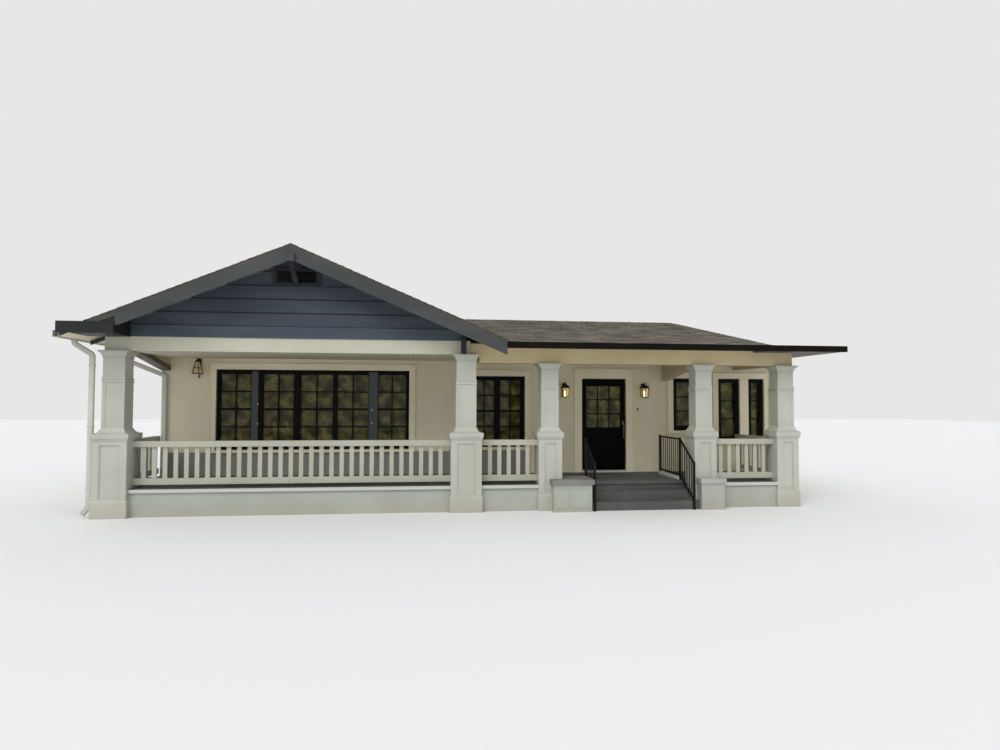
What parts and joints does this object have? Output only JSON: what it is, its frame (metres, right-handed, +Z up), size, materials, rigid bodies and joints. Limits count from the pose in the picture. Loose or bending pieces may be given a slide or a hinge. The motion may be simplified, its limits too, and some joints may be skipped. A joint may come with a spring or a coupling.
{
  "type": "single-storey bungalow",
  "caption": "Single-storey bungalow with a front gable over a full-width porch, a lower side wing, white balustrades and a hinged half-glazed front door.",
  "frame": {"origin": "on the ground, under the middle of the roof's outline", "axes": "+X along the front to the right as seen from the street, +Y from the front to the back, +Z up"},
  "size_m": [14, 10.5, 4.715],
  "materials": {
    "siding": "dark slate paint on lapped boards",
    "dark_trim": "dark grey paint, weathered",
    "vent": "dark paint on slats",
    "stucco": "painted stucco, fine sand float",
    "cream_trim": "cream paint",
    "pier_paint": "off-white paint",
    "rail_paint": "white paint",
    "window_frame": "black paint, satin",
    "window_glass": "clear glass over dark rooms",
    "door_paint": "black paint, satin",
    "door_metal": "brushed nickel",
    "shingles": "composition shingles, weathered",
    "gutter_paint": "dark bronze paint",
    "porch_floor": "grey painted concrete, worn",
    "room_floor": "oiled boards",
    "iron": "black paint",
    "lantern_metal": "dark bronze"
  },
  "bodies": {
    "house": {"gable_wall": "siding", "rear_gable_wall": "siding", "roof_end_wall": "siding", "frieze_board": "dark_trim", "rake_boards": "dark_trim", "ridge_beam": "dark_trim", "eave_return": "dark_trim", "gable_vent": "vent", "front_wall_left": "stucco", "front_wall_right": "stucco", "front_wall_over_door": "stucco", "left_wall": "stucco", "right_wall": "stucco", "back_wall": "stucco", "foundation_wall": "stucco", "gable_beam": "cream_trim", "porch_beam": "cream_trim", "side_beams": "cream_trim", "porch_ceiling": "cream_trim", "room_ceiling": "cream_trim", "front_window_casings": "cream_trim", "side_and_back_casings": "cream_trim", "door_casing": "cream_trim", "pier_1": "pier_paint", "pier_2": "pier_paint", "pier_3": "pier_paint", "pier_4": "pier_paint", "pier_5": "pier_paint", "porch_skirt": "pier_paint", "cheek_left": "pier_paint", "cheek_right": "pier_paint", "balustrade_left": "rail_paint", "balustrade_middle": "rail_paint", "balustrade_right": "rail_paint", "side_balustrades": "rail_paint", "downspout": "rail_paint", "door_sill": "rail_paint", "window_group_frame": "window_frame", "right_window_frames": "window_frame", "side_and_back_frames": "window_frame", "front_window_glass": "window_glass", "side_and_back_glass": "window_glass", "door_hinges": "door_metal", "gable_roof_left": "shingles", "gable_roof_right": "shingles", "main_roof_front": "shingles", "main_roof_back": "shingles", "flat_roof": "shingles", "ridge_caps": "shingles", "gutters": "gutter_paint", "porch_deck": "porch_floor", "step_lower": "porch_floor", "step_upper": "porch_floor", "cheek_left_cap": "porch_floor", "house_floor": "room_floor", "handrails": "iron", "lanterns": "lantern_metal"},
    "door": {"front_door": "door_paint", "door_glass": "window_glass", "door_handle": "door_metal"}
  },
  "joints": [
    {"name": "front_door_hinge", "type": "hinge", "parent": "house", "child": "door", "pos_m": [2.4953, -2.4447, 1.5], "axis": [0, 0, 1], "range_deg": [0, 90]}
  ]
}
